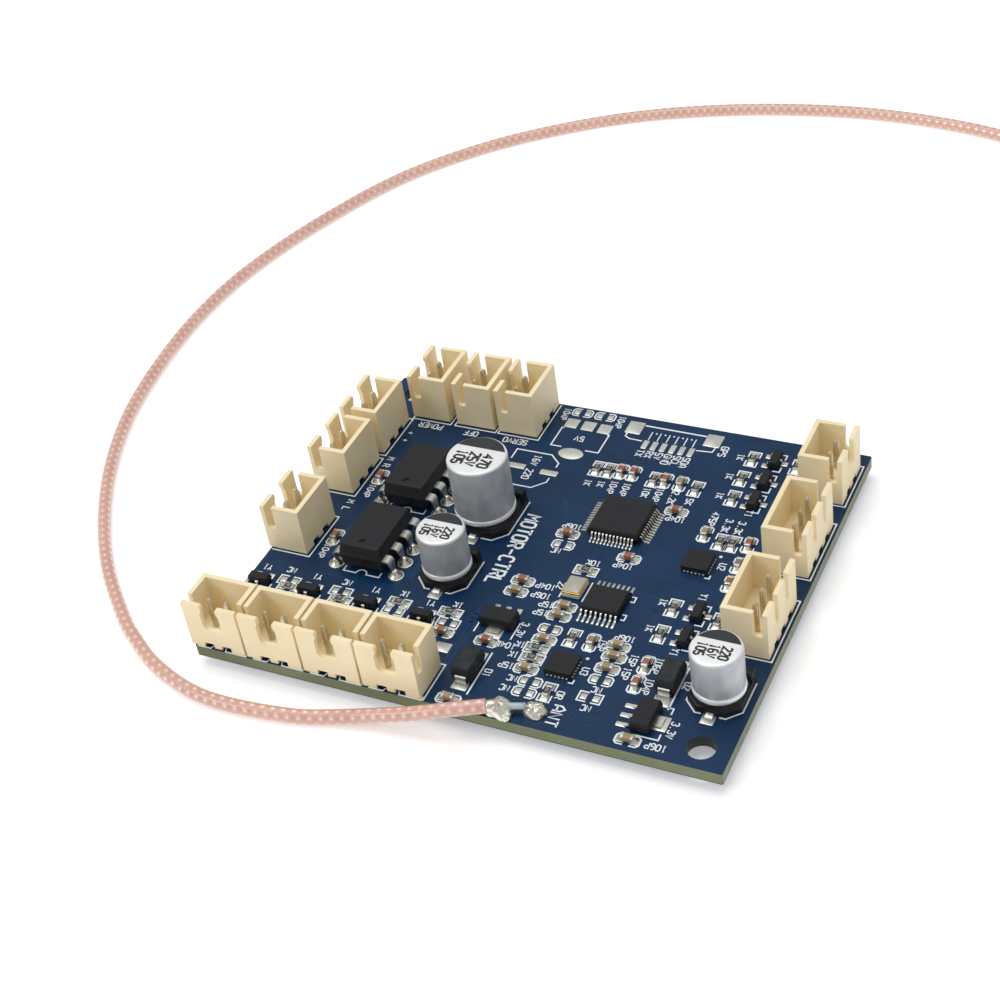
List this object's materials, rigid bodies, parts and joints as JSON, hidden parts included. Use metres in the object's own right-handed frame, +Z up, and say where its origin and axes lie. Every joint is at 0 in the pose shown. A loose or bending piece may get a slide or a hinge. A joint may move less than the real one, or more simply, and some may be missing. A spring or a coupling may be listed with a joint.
{
  "type": "motor controller circuit board",
  "caption": "Blue motor and radio receiver board with cream plug headers on all four sides, round capacitors, driver chips and a thin coaxial aerial lead.",
  "frame": {"origin": "on the table under the middle of the outline of the board and its overhanging headers, the aerial lead left out", "axes": "+X along the front edge from the four front headers to the front right mounting hole, +Y to the back, +Z up out of the component side"},
  "size_m": [0.138, 0.1577, 0.0133],
  "materials": {
    "board_mask": "blue solder mask over glass fibre, satin",
    "header_nylon": "natural cream nylon, satin",
    "tin": "bright tin plate",
    "aluminium": "satin aluminium can",
    "base_plastic": "black moulding",
    "mould_compound": "matte black epoxy",
    "crystal_lid": "nickel lid with a gold rim",
    "solder": "bright solder",
    "dielectric": "milky fluoropolymer",
    "cord_jacket": "pink-brown translucent fluoropolymer over braid",
    "gold": "gold plate"
  },
  "bodies": {
    "root": {"aerial_plug_body": "gold", "aerial_plug_nut": "gold", "amplifier_chip": "mould_compound", "capacitor_large_base": "base_plastic", "capacitor_large_can": "aluminium", "capacitor_small_1_base": "base_plastic", "capacitor_small_1_can": "aluminium", "capacitor_small_2_base": "base_plastic", "capacitor_small_2_can": "aluminium", "circuit_board": "board_mask", "coax_braid_joint": "solder", "coax_cord": "cord_jacket", "coax_core_joint": "solder", "coax_dielectric": "dielectric", "controller": "mould_compound", "crystal": "crystal_lid", "diode_1": "mould_compound", "diode_2": "mould_compound", "header_back_1": "header_nylon", "header_back_1_pins": "tin", "header_back_2": "header_nylon", "header_back_2_pins": "tin", "header_back_3": "header_nylon", "header_back_3_pins": "tin", "header_front_1": "header_nylon", "header_front_1_pins": "tin", "header_front_2": "header_nylon", "header_front_2_pins": "tin", "header_front_3": "header_nylon", "header_front_3_pins": "tin", "header_front_4": "header_nylon", "header_front_4_pins": "tin", "header_left_1": "header_nylon", "header_left_1_pins": "tin", "header_left_2": "header_nylon", "header_left_2_pins": "tin", "header_left_3": "header_nylon", "header_left_3_pins": "tin", "header_right_1": "header_nylon", "header_right_1_pins": "tin", "header_right_2": "header_nylon", "header_right_2_pins": "tin", "header_right_3": "header_nylon", "header_right_3_pins": "tin", "interface_chip": "mould_compound", "motor_driver_1": "mould_compound", "motor_driver_2": "mould_compound", "radio_chip": "mould_compound", "regulator_1": "mould_compound", "regulator_2": "mould_compound", "transistor_1": "mould_compound", "transistor_2": "mould_compound", "transistor_3": "mould_compound", "transistor_4": "mould_compound", "transistor_5": "mould_compound", "transistor_6": "mould_compound", "transistor_7": "mould_compound", "transistor_8": "mould_compound", "transistor_9": "mould_compound"}
  },
  "joints": []
}
